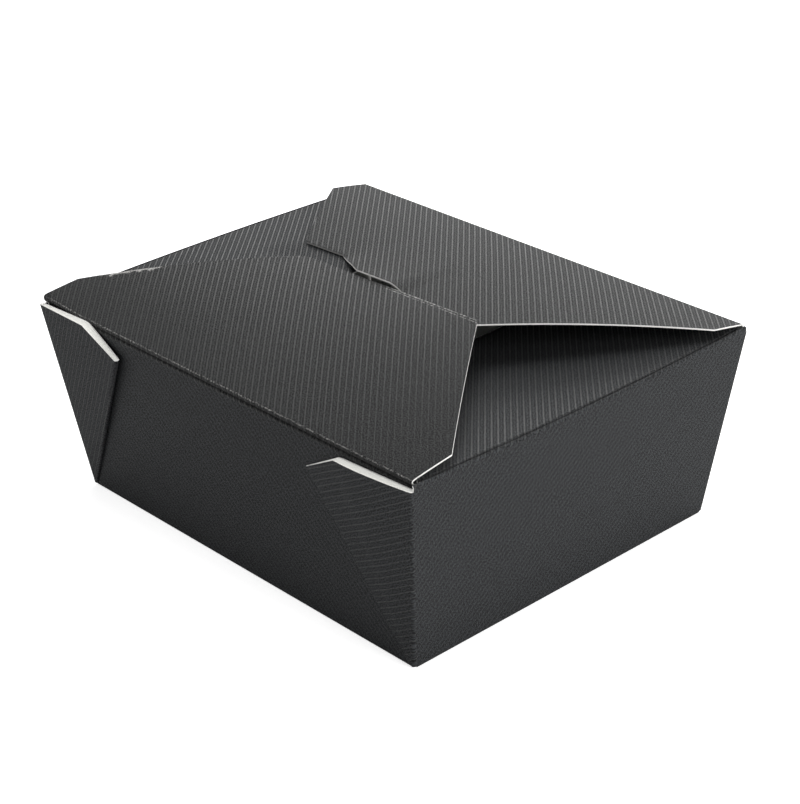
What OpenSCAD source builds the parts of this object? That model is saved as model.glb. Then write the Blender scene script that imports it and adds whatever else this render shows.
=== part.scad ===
// Folded carton for takeaway food: one creased board sheet, shown closed.
// The inner (white) face of the board is the reference face of every panel,
// so neighbouring panels share the same crease points.
// Origin at the centre of the base, on the surface that the box stands on.

/* [Board] */
// Thickness of the board
board = 0.45; // [0.35:0.05:0.8]
// How much thinner the board is where a crease presses it
press = 0.03; // [0.02:0.01:0.06]
// Outer radius of the soft rolls at the rim creases
roll_r = 0.9; // [0.85:0.05:1.5]

/* [Walls] */
// Length of the floor between its creases
base_l = 149.4; // [120:0.5:180]
// Width of the floor between its creases
base_w = 120.6; // [100:0.5:140]
// Length of the rim between the creases of the short walls
rim_l = 167.2; // [155:0.5:190]
// Width of the rim between the creases of the long walls
rim_w = 132.8; // [125:0.5:150]
// Height of the long walls between floor crease and rim crease
wall_h = 63.6; // [45:0.5:90]
// How much lower the rim crease of the short walls lies
rim_step = 1; // [0.4:0.1:3]

/* [Corner webs] */
// Length of the fold that runs up each web from the base corner
web_fold = 65.5; // [40:0.5:66]
// Length of the straight top edge of a web, from the corner of the rim
web_top = 27.5; // [15:0.5:32]
// Gap between the two layers of a left web, where its fold ends
left_tip_gap = 3.4; // [0.4:0.1:5]
// Gap between the two layers of a right web, where its fold ends
right_tip_gap = 0.6; // [0.4:0.1:5]
// Gap between the two layers of a web at the corner of the rim
corner_gap = 1.6; // [0.6:0.1:3]
// Stand-off of the inner layer from the long wall, where the fold ends
web_lift = 1.2; // [0.2:0.1:4]

/* [Lid flaps] */
// Rise of the arched front flap from its crease to the middle of the box
crown = 7.4; // [4:0.1:14]
// How far the front flap reaches past the middle of the box
front_lap = 3.3; // [1:0.1:6]
// Distance of the shoulder of a lid flap from its crease
shoulder_d = 14; // [8:0.5:24]
// How much wider a lid flap is at its shoulders than at its crease, each side
shoulder_out = 0.9; // [0:0.1:1.2]
// Angle of the slanted side edges, measured from the crease
side_angle = 50; // [45:0.5:60]
// Radius of the rounded lead corner of the front flap
lead_r = 4; // [1:0.5:8]
// Size of the small chamfer on the other lead corner of the front flap
lead_chamfer = 1.6; // [0.5:0.1:5]
// Place along the rim of the tab corner that dives under the front flap
hook_x = 3; // [-20:0.5:20]
// Length of the lead edge of the tab
tab_l = 20; // [10:0.5:35]
// Length of the slanted step beside the tab, along the crease
step_l = 11; // [4:0.5:20]
// Depth of the step beside the tab
step_d = 5.4; // [2:0.1:10]
// Lift of the tab side of the back flap over the level of the other side
tab_lift = 2.6; // [1.5:0.1:4]
// Width over which the back flap twists from one level to the other
twist_l = 9; // [5:0.5:20]

/* [Tucked flaps] */
// Depth of the tucked flaps on the short walls
tuck_reach = 63; // [40:0.5:70]
// Angle at which the tucked flaps dip towards the middle of the box
tuck_dip = 6; // [3:0.5:12]
// Distance of the ends of a tucked flap from the corners of the rim
tuck_inset = 5; // [3:0.5:12]
// Length of the straight ends of a tucked flap, next to its crease
tuck_end = 18; // [8:0.5:30]
// Taper of a tucked flap at each end, past those straight ends
tuck_taper = 20; // [4:0.5:35]

/* [Clearances] */
// Clearance round the rolls on which the lid flaps turn
hinge_gap = 0.3; // [0.15:0.05:0.5]
// Clearance between the ends of those rolls and the short walls
end_gap = 0.5; // [0.3:0.1:1]
// Clearance between the lid flaps where one lies over the other
layer_gap = 0.45; // [0.3:0.05:1]
// Clearance between the lead edge of the tab and that of the front flap
lead_gap = 0.4; // [0.3:0.05:1]
// Distance at which the hidden lead edge of the back flap stops from the middle
mid_gap = 0.5; // [0.3:0.1:1]

/* [Hidden] */
$fn = 48;
arc_fn = 720;
twist_steps = 10;
arch_steps = 24;
far = 100;
crease_r = board - press;
corner_r = board - press / 2;
web_r = crease_r - press;
outside = [0.2, 0.2, 0.21];

// Corner of the floor and corner of the rim at the front right
base_pt = [base_l / 2, -base_w / 2, board];
rim_pt = [rim_l / 2, -rim_w / 2, board + wall_h];

// Long wall as a frame: along is towards the middle, up runs up the slope
along = [-1, 0, 0];
up = unit([0, rim_pt.y - base_pt.y, wall_h]);
outward = cross(up, along);
slope_h = norm([0, rim_pt.y - base_pt.y, wall_h]);
rim_out = rim_pt.x - base_pt.x;

// A web folds in half, so its fold halves the angle that the blank leaves open
lean_long = atan(rim_out / slope_h);
lean_short = atan((base_pt.y - rim_pt.y) / norm([rim_out, 0, wall_h]));
fold_angle = (90 - lean_long - lean_short) / 2 - lean_long;
web_tip = [web_fold * sin(fold_angle), web_fold * cos(fold_angle)];
web_edge_h = slope_h - roll_r - hinge_gap;
web_corner = [-rim_out * web_edge_h / slope_h, web_edge_h];
web_outline = [[0, 0], web_corner, [web_top - rim_out, web_edge_h], web_tip];

// Stand-off of the two web layers from the long wall at the corner of the rim
inner_rim = 2 * board - press;
outer_rim = inner_rim + corner_gap;

// Upper end of the corner edge, where the rim crease of the short wall starts
corner_top = web_corner * (wall_h - rim_step) / wall_h * slope_h / web_edge_h;

// Axis of the rolls on which the lid flaps turn, and half their length
hinge_y = rim_w / 2 + board - roll_r;
hinge_z = board + wall_h;
hinge_half = rim_l / 2 - end_gap;

// Each lid flap is an arc round a line far below the middle of the box
back_crown = crown - board - layer_gap;
front_arc = (hinge_y * hinge_y + crown * crown) / (2 * crown);
back_arc = (hinge_y * hinge_y + back_crown * back_crown) / (2 * back_crown);
front_reach = hinge_y + front_lap;
tab_reach = hinge_y - front_lap - lead_gap;
under_reach = hinge_y - mid_gap;

function unit(v) = v / norm(v);

function smooth(t) = let (c = min(max(t, 0), 1)) c * c * (3 - 2 * c);

// Point of a web layer that stands off the long wall: nothing at the base
// corner, by rim at the rim corner and by tip where the fold ends
function web_pt(p, rim, tip, low = 0) =
    let (d = web_corner.x * web_tip.y - web_corner.y * web_tip.x,
         gx = ((rim - low) * web_tip.y - (tip - low) * web_corner.y) / d,
         gy = ((tip - low) * web_corner.x - (rim - low) * web_tip.x) / d)
    base_pt + along * p.x + up * p.y + outward * (low + gx * p.x + gy * p.y);

// Half-width of a lid flap at a distance from its crease
function flap_half(d) =
    d < shoulder_d ? hinge_half + shoulder_out * d / shoulder_d
                   : hinge_half + shoulder_out - (d - shoulder_d) / tan(side_angle);

// Height of the back flap's top face over the hinge axis
function back_top(x, d) =
    let (r = back_arc + roll_r, y = hinge_y - d)
    sqrt(r * r - y * y) + back_crown - back_arc
    + tab_lift * smooth((hook_x - x) / twist_l) * pow(d / hinge_y, 3);

// Places children in a frame at o, with z along one direction and x near another
module in_frame(o, z_dir, x_near) {
    z = unit(z_dir);
    y = unit(cross(z, x_near));
    x = cross(y, z);
    multmatrix([[x.x, y.x, z.x, o.x], [x.y, y.y, z.y, o.y], [x.z, y.z, z.z, o.z]])
        children();
}

// Flat panel of board: its reference face has the corner points given,
// anticlockwise as seen from the side to which the board is thick
module panel(pts) {
    z = unit(cross(pts[1] - pts[0], pts[2] - pts[0]));
    x = unit(pts[1] - pts[0]);
    y = cross(z, x);
    in_frame(pts[0], z, x)
        linear_extrude(board)
            polygon([for (p = pts) [(p - pts[0]) * x, (p - pts[0]) * y]]);
}

// Round edge that a fold leaves along a line, from radius r1 to radius r2
module fold(p, q, r1, r2) {
    in_frame(p, q - p, [0.3, 1, 0]) cylinder(h = norm(q - p), r1 = r1, r2 = r2);
}

// Floor with the creases and the rounded corners round it
module floor_panel() {
    b = [base_pt.x, -base_pt.y];
    translate([-b.x, -b.y, 0]) cube([base_l, base_w, board]);
    for (s = [-1, 1]) {
        fold([-b.x, s * b.y, board], [b.x, s * b.y, board], crease_r, crease_r);
        fold([s * b.x, -b.y, board], [s * b.x, b.y, board], crease_r, crease_r);
        for (t = [-1, 1]) translate([s * b.x, t * b.y, board]) sphere(corner_r);
    }
}

// Round bar on the axis of the front hinge
module hinge_bar(r, half) {
    translate([-half, -hinge_y, hinge_z]) rotate([0, 90, 0]) cylinder(h = 2 * half, r = r);
}

// Long wall at the front; its top edge is hollowed to clear the flap's roll
module long_wall() {
    difference() {
        panel([[-base_pt.x, base_pt.y, base_pt.z], base_pt, rim_pt,
               [-rim_pt.x, rim_pt.y, rim_pt.z]]);
        hinge_bar(roll_r + hinge_gap, rim_l);
    }
}

// Corner web at the front right: an inner layer against the long wall and an
// outer layer over it, joined by the fold that runs up from the base corner
module web(tip_gap) {
    inner_tip = inner_rim + web_lift;
    outer_tip = inner_tip + tip_gap;
    last = len(web_outline) - 1;
    panel([for (i = [last:-1:0]) web_pt(web_outline[i], inner_rim, inner_tip, board)]);
    panel([for (p = web_outline) web_pt(p, outer_rim, outer_tip)]);
    fold(base_pt, web_pt(corner_top, outer_rim, 0), web_r, web_r);
    fold(web_pt([0, 0], 0, 0, board / 2), web_pt(web_corner, board, 0),
         board / 2 - press, web_r);
    web_roll(web_pt(web_tip, 0, (inner_tip + outer_tip) / 2, board / 2), tip_gap);
}

// Open roll of the web's fold: half a cone of board, hollow from the place
// where its two layers part
module web_roll(tip, tip_gap) {
    start = web_pt([0, 0], 0, 0, board / 2);
    l = norm(tip - start);
    parting = l * board / (board + tip_gap);
    in_frame(start, tip - start, cross(tip - start, outward))
        difference() {
            cylinder(h = l, r1 = board / 2 - press, r2 = tip_gap / 2 + web_r);
            translate([0, 0, parting])
                cylinder(h = l - parting, r1 = press, r2 = tip_gap / 2 + press);
            translate([2 * press, -far / 2, 0]) cube([far, far, l]);
        }
}

// Short wall at the right, with the roll at its rim and the flap tucked inside
module short_wall() {
    top = web_pt(corner_top, outer_rim, 0);
    low_back = [base_pt.x, -base_pt.y, base_pt.z];
    face = unit(cross(low_back - base_pt, top - base_pt));
    panel([base_pt, low_back, [top.x, -top.y, top.z], top]);
    roll = top + face * (board - roll_r);
    half = rim_w / 2 - tuck_inset;
    roll_end = half - press;
    fold([roll.x, -roll_end, roll.z], [roll.x, roll_end, roll.z],
         roll_r - press, roll_r - press);
    inner = [-cos(tuck_dip), 0, -sin(tuck_dip)];
    start = [roll.x, 0, roll.z] + (roll_r - board) * [inner.z, 0, -inner.x];
    panel([for (p = [[0, -half], [0, half], [tuck_end, half],
                     [tuck_reach, half - tuck_taper], [tuck_reach, tuck_taper - half],
                     [tuck_end, -half]])
        start + inner * p.x + [0, p.y, 0]]);
}

module box_body() {
    color(outside) {
        floor_panel();
        for (s = [0, 1]) mirror([0, s, 0]) {
            long_wall();
            web(right_tip_gap);
            mirror([1, 0, 0]) web(left_tip_gap);
        }
        for (s = [0, 1]) mirror([s, 0, 0]) short_wall();
    }
}

// Front flap: an arched sheet with a straight lead edge, rounded at one corner
module front_flap() {
    lead = flap_half(front_reach);
    arc_x = lead_r * tan(side_angle / 2) - lead;
    outline = concat(
        [[-hinge_half, 0], [hinge_half, 0], [flap_half(shoulder_d), shoulder_d],
         [flap_half(front_reach - lead_chamfer), front_reach - lead_chamfer],
         [lead - lead_chamfer, front_reach]],
        [for (a = [90:10:90 + side_angle])
            [arc_x + lead_r * cos(a), front_reach - lead_r + lead_r * sin(a)]],
        [[-flap_half(shoulder_d), shoulder_d]]);
    color(outside) {
        hinge_bar(roll_r, hinge_half);
        intersection() {
            translate([0, -hinge_y, hinge_z]) linear_extrude(far) polygon(outline);
            translate([-far, 0, hinge_z + crown - front_arc]) rotate([0, 90, 0])
                difference() {
                    cylinder(h = 2 * far, r = front_arc + roll_r, $fn = arc_fn);
                    cylinder(h = 2 * far, r = front_arc + roll_r - board, $fn = arc_fn);
                }
        }
    }
}

// Back flap: an arched sheet that twists, so that its tab stands over the lead
// edge of the front flap and the rest lies under it
module back_flap() {
    step_reach = tab_reach - step_d;
    step_x = hook_x - tab_l;
    outline = [
        [hinge_half, 0], [flap_half(shoulder_d), shoulder_d],
        [flap_half(under_reach), under_reach],
        [hook_x + under_reach - tab_reach, under_reach], [hook_x, tab_reach],
        [step_x, tab_reach], [step_x - step_l, step_reach],
        [-flap_half(step_reach), step_reach],
        [-flap_half(shoulder_d), shoulder_d], [-hinge_half, 0]];
    color(outside) {
        mirror([0, 1, 0]) hinge_bar(roll_r, hinge_half);
        translate([0, hinge_y, hinge_z])
            intersection() {
                mirror([0, 1, 0]) linear_extrude(far) polygon(outline);
                twisted_sheet();
            }
    }
}

// Sheet that follows the height of the back flap, larger than its outline
module twisted_sheet() {
    xs = concat([-far], [for (i = [0:twist_steps]) hook_x + twist_l * (i / twist_steps - 1)],
                [far]);
    ds = [for (j = [0:arch_steps]) hinge_y * j / arch_steps];
    nx = len(xs);
    layer = nx * len(ds);
    top = [for (d = ds, x = xs) [x, -d, back_top(x, d)]];
    under = [for (p = top) p - [0, 0, board]];
    grid = [for (j = [0:arch_steps - 1], i = [0:nx - 2]) j * nx + i];
    rim = concat([for (i = [0:nx - 1]) i],
                 [for (j = [1:arch_steps]) j * nx + nx - 1],
                 [for (i = [nx - 2:-1:0]) arch_steps * nx + i],
                 [for (j = [arch_steps - 1:-1:1]) j * nx]);
    polyhedron(concat(top, under), concat(
        [for (k = grid) each [[k, k + 1, k + nx], [k + 1, k + nx + 1, k + nx]]],
        [for (k = grid) each [[k, k + nx, k + 1], [k + 1, k + nx, k + nx + 1]]
            + [[layer, layer, layer], [layer, layer, layer]]],
        [for (m = [0:len(rim) - 1]) let (a = rim[m], b = rim[(m + 1) % len(rim)])
            [b, a, a + layer, b + layer]]));
}

box_body();
front_flap();
back_flap();
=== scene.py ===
"""Looks of a folded takeaway carton: striped black board, white inside, shown closed."""

import logging
import math
from collections.abc import Callable, Sequence
from dataclasses import dataclass, replace
from enum import Enum, IntEnum

import bpy
import numpy as np
from mathutils import Matrix, Vector
from mathutils.geometry import delaunay_2d_cdt


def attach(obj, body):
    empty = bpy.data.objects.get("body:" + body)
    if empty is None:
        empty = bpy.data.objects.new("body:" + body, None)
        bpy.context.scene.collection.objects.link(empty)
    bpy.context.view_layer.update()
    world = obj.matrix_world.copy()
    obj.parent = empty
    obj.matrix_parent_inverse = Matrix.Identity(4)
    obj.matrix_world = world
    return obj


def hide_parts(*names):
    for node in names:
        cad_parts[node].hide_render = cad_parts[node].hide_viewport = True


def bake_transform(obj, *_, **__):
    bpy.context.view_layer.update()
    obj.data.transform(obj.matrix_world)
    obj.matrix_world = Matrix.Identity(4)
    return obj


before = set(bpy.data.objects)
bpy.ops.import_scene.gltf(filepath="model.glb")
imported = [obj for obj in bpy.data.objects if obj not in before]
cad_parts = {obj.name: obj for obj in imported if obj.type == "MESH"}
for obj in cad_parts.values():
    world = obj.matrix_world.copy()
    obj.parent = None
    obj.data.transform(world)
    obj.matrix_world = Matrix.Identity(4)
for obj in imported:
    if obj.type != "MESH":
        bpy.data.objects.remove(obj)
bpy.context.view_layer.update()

LOG = logging.getLogger("carton")
MM = 0.001
WHITE = (1.0, 1.0, 1.0, 1.0)
BLACK = (0.0, 0.0, 0.0, 1.0)
# COOL: the same black ground with a painted cool cast of light, for the walls and webs.
COOL = (0.0116, 0.0125, 0.0138, 1.0)
FLAT = "flat"
TINY = 1e-12

Place = Callable[[np.ndarray, np.ndarray], np.ndarray]
Points = Sequence[tuple[float, float]]
Stations = tuple[tuple[float, float], ...]
Span = tuple[float, float]
Colour = tuple[float, float, float, float]
Socketable = "Sock | float | tuple"


class Side(IntEnum):
    """Which way a side of the carton faces along its own axis."""

    MINUS = -1
    PLUS = 1


class Skin(IntEnum):
    """Material slots of every piece of board."""

    PRINT = 0
    INSIDE = 1
    CUT = 2


class RollEnd(Enum):
    """How the roll at a short side's rim ends at a corner."""

    NOTCHED = "notched"
    CURLED = "curled"
    WHOLE = "whole"


# Shader building

class Sock:
    """One socket of a shader tree that takes part in Python arithmetic."""

    def __init__(self, graph: "Graph", socket: bpy.types.NodeSocket) -> None:
        """Wraps a socket of a graph."""
        self.graph = graph
        self.socket = socket

    def _math(self, operation: str, first: Socketable, second: Socketable) -> "Sock":
        """Adds a Math node.

        Args:
            operation: the node's operation.
            first: its first value or link.
            second: its second value or link.

        Returns:
            The node's result.
        """
        return self.graph.node("ShaderNodeMath", {"operation": operation}, {0: first, 1: second})

    def __add__(self, other: Socketable) -> "Sock":
        """Sum."""
        return self._math("ADD", self, other)

    def __sub__(self, other: Socketable) -> "Sock":
        """Difference."""
        return self._math("SUBTRACT", self, other)

    def __rsub__(self, other: Socketable) -> "Sock":
        """Difference with the number first."""
        return self._math("SUBTRACT", other, self)

    def __mul__(self, other: Socketable) -> "Sock":
        """Product."""
        return self._math("MULTIPLY", self, other)

    def __truediv__(self, other: Socketable) -> "Sock":
        """Quotient."""
        return self._math("DIVIDE", self, other)

    __radd__ = __add__
    __rmul__ = __mul__

    def most(self, other: Socketable) -> "Sock":
        """The larger of two values."""
        return self._math("MAXIMUM", self, other)

    def fraction(self) -> "Sock":
        """What is left after the whole turns."""
        return self._math("FRACT", self, 0.0)

    def size(self) -> "Sock":
        """The value without its sign."""
        return self._math("ABSOLUTE", self, 0.0)

    def below(self) -> "Sock":
        """How far the value lies below 0."""
        return (0.0 - self).most(0.0)

    def step(self, low: float, high: float) -> "Sock":
        """A smooth rise.

        Args:
            low: the value at which the result is 0.
            high: the value at which the result is 1.

        Returns:
            The result, from 0 to 1.
        """
        settings = {"interpolation_type": "SMOOTHSTEP"}
        return self.graph.node("ShaderNodeMapRange", settings,
                               {"Value": self, "From Min": low, "From Max": high})


class Graph:
    """The node tree of one material, with its Principled shader."""

    def __init__(self, name: str) -> None:
        """Makes the material.

        Args:
            name: the material's name.
        """
        self.material = bpy.data.materials.new(name)
        self.material.use_nodes = True
        self.tree = self.material.node_tree
        self.tree.nodes.clear()
        self.output = self.tree.nodes.new("ShaderNodeOutputMaterial")
        self.shader = self.tree.nodes.new("ShaderNodeBsdfPrincipled")
        self.tree.links.new(self.shader.outputs[0], self.output.inputs["Surface"])

    def feed(self, target: bpy.types.NodeSocket, value: Socketable) -> None:
        """Links or sets a socket.

        Args:
            target: the socket that takes the value.
            value: a wrapped socket, a number or a tuple.
        """
        if isinstance(value, Sock):
            self.tree.links.new(value.socket, target)
        else:
            target.default_value = value

    def node(self, kind: str, settings: dict[str, object] | None = None,
             values: dict[str | int, Socketable] | None = None, output: str | int = 0) -> Sock:
        """Adds a node.

        Args:
            kind: the node's type.
            settings: its properties, set first.
            values: numbers or links for its sockets.
            output: which of its results is wanted.

        Returns:
            That result, wrapped.
        """
        made = self.tree.nodes.new(kind)
        for key, value in (settings or {}).items():
            setattr(made, key, value)
        for key, value in (values or {}).items():
            self.feed(made.inputs[key], value)
        return Sock(self, made.outputs[output])

    def mix(self, share: Socketable, first: Socketable, second: Socketable) -> Sock:
        """Mixes two colours.

        Args:
            share: how much of the second there is.
            first: the first colour.
            second: the second colour.

        Returns:
            The mixed colour.
        """
        return self.node("ShaderNodeMix", {"data_type": "RGBA"},
                         {"Factor": share, 6: first, 7: second}, 2)

    def noise(self, where: Sock, scale: float, detail: float = 2.0) -> Sock:
        """Noise from 0 to 1.

        Args:
            where: the coordinates.
            scale: cells in each unit of the coordinates.
            detail: how many finer layers it has.

        Returns:
            The noise.
        """
        return self.node("ShaderNodeTexNoise", None,
                         {"Vector": where, "Scale": scale, "Detail": detail})

    def layout(self) -> tuple[Sock, list[Sock]]:
        """The board's flat layout.

        Returns:
            The whole vector, and its parts: x, y, and a value that stands for rubbing where it is
                positive and for painted shade where it is negative.
        """
        flat = self.node("ShaderNodeAttribute", {"attribute_name": FLAT}, None, "Vector")
        return flat, [self.node("ShaderNodeSeparateXYZ", None, {0: flat}, i) for i in range(3)]

    def bump(self, height: Sock, strength: float, depth: float) -> Sock:
        """Bumps the surface.

        Args:
            height: the relief, from 0 to 1.
            strength: how much of it shows.
            depth: its depth, in millimetres.

        Returns:
            The normal.
        """
        return self.node("ShaderNodeBump", None,
                         {"Strength": strength, "Distance": depth * MM, "Height": height})

    def dress(self, **values: Socketable) -> bpy.types.Material:
        """Sets the shader's sockets.

        Args:
            values: socket names, with underscores for spaces.

        Returns:
            The material.
        """
        for key, value in values.items():
            self.feed(self.shader.inputs[key.replace("_", " ")], value)
        return self.material


@dataclass(frozen=True)
class PrintedBoard:
    """Matt black print with thin pale stripes, on the outside of the board.

    Lengths are millimetres on the flat board, and scales are cells in each of them. The stripes'
    strength is partly painted sheen: the sheen fade says between which places the stripes get
    weaker, and by what share, and walls how much of them is left on the walls, where their sheen
    catches less light.
    """

    name: str
    strength: float
    # painted sheen: the stripes get weaker along x, as their gloss catches less light
    sheen_fade: tuple[float, float, float] = (0.0, 1.0, 0.0)
    walls: float = 1.0
    wall_end: float = 139.0
    ground: Colour = (0.0125, 0.0128, 0.0130, 1.0)
    stripe: Colour = (0.056, 0.057, 0.056, 1.0)
    fibre: Colour = (0.55, 0.54, 0.52, 1.0)
    darkest: float = 0.1
    palest: float = 2.9
    # share of the ground colour in the painted shade
    painted_shade_share: float = 0.2
    pitch: float = 1.80
    line: float = 0.32
    soft: float = 0.17
    between: float = 0.2
    speck_scale: float = 2.5
    cloud_scale: float = 0.22
    break_scale: float = 2.2
    break_gain: Span = (5.0, 1.4)
    rub_scale: float = 1.7
    rub_gain: Span = (2.6, 0.8)
    rub_step: Span = (0.2, 0.8)
    rub_most: float = 0.8
    grain: float = 4.6
    cloud: float = 0.3
    relief: float = 0.03
    relief_strength: float = 0.6
    rough: float = 0.72
    gloss: float = 0.22
    grain_gloss: float = 0.08
    specular: float = 0.30

    def ground_at(self, share: float) -> Colour:
        """The ground colour, made lighter or darker."""
        return tuple(c * share for c in self.ground[:3]) + (1.0,)

    def _stripe(self, off: Sock) -> Sock:
        """A stripe, for the distance from its middle."""
        return 1.0 - off.step(self.line / 2 - self.soft, self.line / 2 + self.soft)

    def _ink(self, g: Graph, flat: Sock, x: Sock, y: Sock) -> Sock:
        """How much stripe there is.

        Args:
            g: the material's graph.
            flat: place on the flat board.
            x: its part along the carton's length.
            y: its part along the carton's width.

        Returns:
            The strength of the diagonal stripes, broken up as if printed on rough board.
        """
        turn = ((x - y) / math.sqrt(2) / self.pitch).fraction()
        off = (turn - 0.5).size() * self.pitch
        stripes = self._stripe(off) + self._stripe(self.pitch / 2 - off) * self.between
        start, end, lost = self.sheen_fade
        on_wall = 1.0 - x.size().step(self.wall_end - 1, self.wall_end + 1)
        left = (1.0 - x.step(start, end) * lost) * (1.0 - on_wall * (1 - self.walls))
        gain, loss = self.break_gain
        broken = (g.noise(flat, self.break_scale, 1.0) * gain - loss).most(0.0)
        return stripes * broken * left * self.strength

    def material(self) -> bpy.types.Material:
        """Builds the material.

        Returns:
            The material, with painted shade on the print where the third value is negative, and
            rubbed pale where it isn't.
        """
        g = Graph(self.name)
        flat, (x, y, wear_and_shade) = g.layout()
        speck = g.noise(flat, self.speck_scale, 0.0)
        cloud = g.noise(flat, self.cloud_scale, 2.0)
        ink = self._ink(g, flat, x, y)
        shade = (speck - 0.5) * self.grain + (cloud - 0.5) * self.cloud
        ground = g.mix(shade + 0.5, self.ground_at(self.darkest), self.ground_at(self.palest))
        striped = g.mix(ink, ground, self.stripe)
        # painted shade: the print darkens where the third value is negative
        darker = g.mix(wear_and_shade.below(), striped, self.ground_at(self.painted_shade_share))
        gain, loss = self.rub_gain
        rubbed = (wear_and_shade * (g.noise(flat, self.rub_scale, 3.0) * gain - loss)).step(*self.rub_step)
        return g.dress(
            Base_Color=g.mix(rubbed * self.rub_most, darker, self.fibre),
            Roughness=self.rough - ink * self.gloss - shade * self.grain_gloss,
            Normal=g.bump(speck, self.relief_strength, self.relief),
            Specular_IOR_Level=self.specular)


@dataclass(frozen=True)
class PlainBoard:
    """Bare board: the white inside, or a cut edge with its fibres.

    Its emission is painted light, which brightens white board that lies in shade.
    """

    name: str
    colour: Colour
    shade: Colour
    scale: float = 1.5
    relief: float = 0.02
    # emission strength of the painted light
    painted_glow: float = 0.0
    # colour of the painted shade
    painted_shade_colour: Colour = (0.004, 0.004, 0.004, 1.0)
    fibre_step: Span = (0.35, 0.75)
    relief_strength: float = 0.5
    rough: float = 0.8
    specular: float = 0.3

    def material(self) -> bpy.types.Material:
        """Builds the material.

        Returns:
            The material, with painted shade where the layout's third value is negative.
        """
        g = Graph(self.name)
        where = g.node("ShaderNodeTexCoord", None, None, "Object")
        fibres = g.noise(where, self.scale / MM, 3.0)
        _, (_, _, wear_and_shade) = g.layout()
        clean = g.mix(fibres.step(*self.fibre_step), self.colour, self.shade)
        # painted shade darkens the bare board where the layout's third value is negative
        return g.dress(
            Base_Color=g.mix(wear_and_shade.below(), clean, self.painted_shade_colour),
            Roughness=self.rough,
            Normal=g.bump(fibres, self.relief_strength, self.relief),
            Specular_IOR_Level=self.specular,
            Emission_Color=self.colour,
            Emission_Strength=self.painted_glow)


# Board sheets

def added(name: str, data: bpy.types.ID) -> bpy.types.Object:
    """Puts a new object in the scene.

    Args:
        name: the object's name.
        data: its mesh, lamp or camera.

    Returns:
        The object.
    """
    made = bpy.data.objects.new(name, data)
    bpy.context.scene.collection.objects.link(made)
    return made


def unit(vectors: np.ndarray) -> np.ndarray:
    """Vectors of length 1 with the same directions."""
    return vectors / np.maximum(np.linalg.norm(vectors, axis=1), TINY)[:, None]


def ring(points: Points, us: np.ndarray, vs: np.ndarray
         ) -> tuple[list[tuple[float, float]], list[int]]:
    """Splits the edges of an outline where they cross the lines of a grid.

    Args:
        points: corners of the outline, in order.
        us: places of the grid lines along the first axis.
        vs: places of the grid lines along the second axis.

    Returns:
        The points in order, and for each the number of the edge that starts with it.
    """
    made: list[tuple[float, float]] = []
    edge_of: list[int] = []
    least = 1e-4
    for k, (p, q) in enumerate(zip(points, [*points[1:], points[0]])):
        shares = {0.0}
        for axis, cuts in ((0, us), (1, vs)):
            if abs(q[axis] - p[axis]) > 1e-9:
                t = (cuts - p[axis]) / (q[axis] - p[axis])
                shares.update(round(float(x), 7) for x in t if least < x < 1 - least)
        for t in sorted(shares):
            made.append((p[0] + (q[0] - p[0]) * t, p[1] + (q[1] - p[1]) * t))
            edge_of.append(k)
    return made, edge_of


def inside(u: np.ndarray, v: np.ndarray, points: Points) -> np.ndarray:
    """Tells which points lie in an outline.

    Args:
        u: first coordinates.
        v: second coordinates.
        points: corners of the outline.

    Returns:
        One truth value for each point.
    """
    found = np.zeros(len(u), bool)
    for (x0, y0), (x1, y1) in zip(points, [*points[1:], points[0]]):
        if y0 != y1:
            crossed = (v < y0) != (v < y1)
            found ^= crossed & (u < (x1 - x0) * (v - y0) / (y1 - y0) + x0)
    return found


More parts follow.
